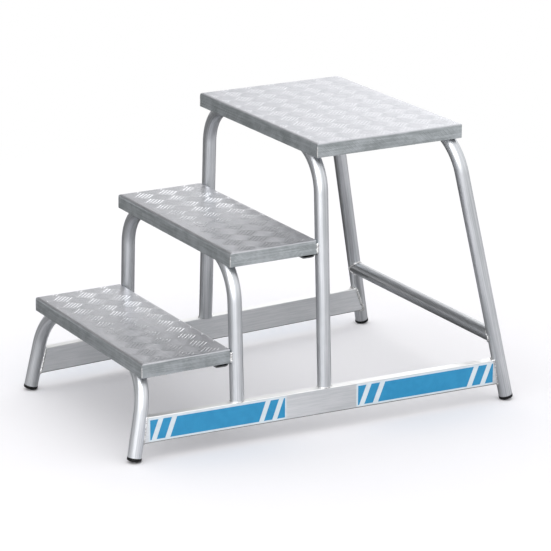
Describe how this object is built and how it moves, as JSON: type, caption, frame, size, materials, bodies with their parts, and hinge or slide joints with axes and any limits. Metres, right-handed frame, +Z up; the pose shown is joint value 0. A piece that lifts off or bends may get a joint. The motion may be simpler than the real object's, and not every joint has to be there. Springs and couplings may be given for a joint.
{
  "type": "machine steps",
  "caption": "Free-standing welded aluminium machine steps: chequer-plate treads and a platform on bent-tube hoops, base rails and end plugs.",
  "frame": {"origin": "on the floor, under the middle of the overall box", "axes": "+X to the right of a person who climbs, +Y the way they climb, +Z up"},
  "size_m": [0.619, 0.888, 0.603],
  "materials": {
    "chequer_plate": "bright mill, raised chequer pattern on top",
    "tube": "satin, drawn along the tube",
    "rail": "satin, drawn along the rail",
    "channel": "mill",
    "weld": "bright rippled bead",
    "plug": "smooth, slightly glossy",
    "label": "printed film, blue with white slashes"
  },
  "bodies": {
    "root": {"brace_welds": "weld", "corner_welds": "weld", "front_hoop": "tube", "hoop_foot_welds": "weld", "left_front_foot": "plug", "left_front_label": "label", "left_rail": "rail", "left_rear_foot": "plug", "left_rear_label": "label", "lower_rear_channel": "channel", "lower_tread": "chequer_plate", "middle_hoop": "tube", "middle_rear_channel": "channel", "middle_tread": "chequer_plate", "platform": "chequer_plate", "rail_welds": "weld", "rear_brace": "tube", "rear_hoop": "tube", "right_front_foot": "plug", "right_front_label": "label", "right_rail": "rail", "right_rear_foot": "plug", "right_rear_label": "label", "stitch_welds": "weld", "tread_back_welds": "weld", "upper_hoop": "tube"}
  },
  "joints": []
}
